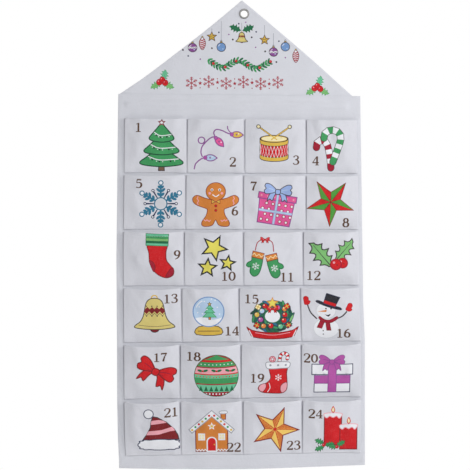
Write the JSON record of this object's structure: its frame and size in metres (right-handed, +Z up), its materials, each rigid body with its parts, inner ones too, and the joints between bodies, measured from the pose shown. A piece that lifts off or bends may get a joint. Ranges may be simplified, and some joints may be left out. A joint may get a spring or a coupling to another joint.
{
  "type": "fabric advent calendar",
  "caption": "House-shaped fabric advent calendar that hangs from one eyelet: a hemmed backing, a pointed top over a hidden rod, and rows of pleated, numbered gift pockets.",
  "frame": {"origin": "centre of the hanging eyelet's hole, on the back face of the gable cloth", "axes": "+Z up, +X to the right as seen from the front, +Y into the wall that it hangs on"},
  "size_m": [0.48, 0.0255, 0.914],
  "materials": {
    "white_cloth": "plain woven, matt, printed",
    "pocket_cloth": "plain woven, matt, printed",
    "rod_wood": "bare turned softwood",
    "eyelet_metal": "bright nickel plate"
  },
  "bodies": {
    "root": {"body_panel": "white_cloth", "gable_panel": "white_cloth", "spreader_rod": "rod_wood", "pocket_strip_row_1": "pocket_cloth", "pocket_strip_row_2": "pocket_cloth", "pocket_strip_row_3": "pocket_cloth", "pocket_strip_row_4": "pocket_cloth", "pocket_strip_row_5": "pocket_cloth", "pocket_strip_row_6": "pocket_cloth", "eyelet": "eyelet_metal", "eyelet_washer": "eyelet_metal"}
  },
  "joints": []
}
